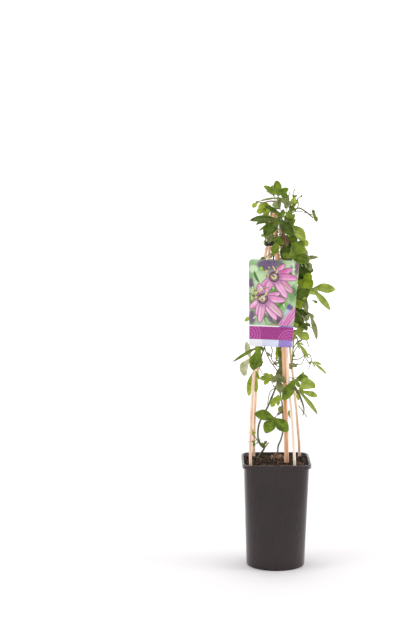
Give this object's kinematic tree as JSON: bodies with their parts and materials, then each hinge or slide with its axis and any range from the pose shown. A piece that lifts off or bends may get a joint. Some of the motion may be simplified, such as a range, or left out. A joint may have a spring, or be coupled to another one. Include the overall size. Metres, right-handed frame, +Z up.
{
  "type": "potted passion flower plant",
  "caption": "Young climbing passion flower on canes in a square-topped nursery pot, with lobed leaves, tendrils and a hanging picture label.",
  "frame": {"origin": "middle of the pot's flat underside", "axes": "+Z up, and the label faces -Y"},
  "size_m": [0.2052, 0.1442, 0.7806],
  "materials": {
    "pot": "satin, finely moulded",
    "soil": "loose, crumbly potting soil",
    "plug": "dry fibrous peat",
    "cane": "smooth dowel",
    "tie": "matt",
    "label": "printed glossy card",
    "hook": "moulded",
    "stem": "smooth green bark",
    "leaf": "satin, paler underneath",
    "tendril": "smooth"
  },
  "bodies": {
    "root": {"pot": "pot", "soil": "soil", "root_plug": "plug", "cane_front_left": "cane", "cane_back_left": "cane", "cane_centre": "cane", "cane_front_right": "cane", "cane_back_right": "cane", "cane_tie": "tie", "label": "label", "label_hook": "hook", "main_stem": "stem", "second_stem": "stem", "left_shoot": "stem", "right_shoot": "stem", "leaf_crown": "leaf", "leaf_crown_back": "leaf", "leaf_under_crown": "leaf", "leaf_top_left": "leaf", "leaf_spread": "leaf", "leaf_spread_under": "leaf", "leaf_top_right": "leaf", "leaf_arching": "leaf", "leaf_upright": "leaf", "leaf_upright_low": "leaf", "leaf_bud": "leaf", "leaf_tie_left": "leaf", "leaf_tie_front": "leaf", "leaf_tie_right": "leaf", "leaf_neck": "leaf", "leaf_neck_far": "leaf", "leaf_right_top": "leaf", "leaf_right_bright": "leaf", "leaf_right_reaching": "leaf", "leaf_right_inner": "leaf", "leaf_right_dark": "leaf", "leaf_right_hanging": "leaf", "leaf_right_small": "leaf", "leaf_right_low": "leaf", "leaf_trailing": "leaf", "leaf_trailing_tip": "leaf", "leaf_low_right": "leaf", "leaf_low_right_far": "leaf", "leaf_left_dark": "leaf", "leaf_left_light": "leaf", "leaf_left_hanging": "leaf", "leaf_small_left": "leaf", "leaf_grey_hanging": "leaf", "leaf_young": "leaf", "leaf_low_front": "leaf", "leaf_low_small": "leaf", "leaf_back_neck": "leaf", "leaf_back_upper": "leaf", "leaf_back_left": "leaf", "leaf_back_middle": "leaf", "leaf_left_middle": "leaf", "leaf_back_low": "leaf", "tendril_top": "tendril", "tendril_right": "tendril", "tendril_low_right": "tendril"}
  },
  "joints": []
}
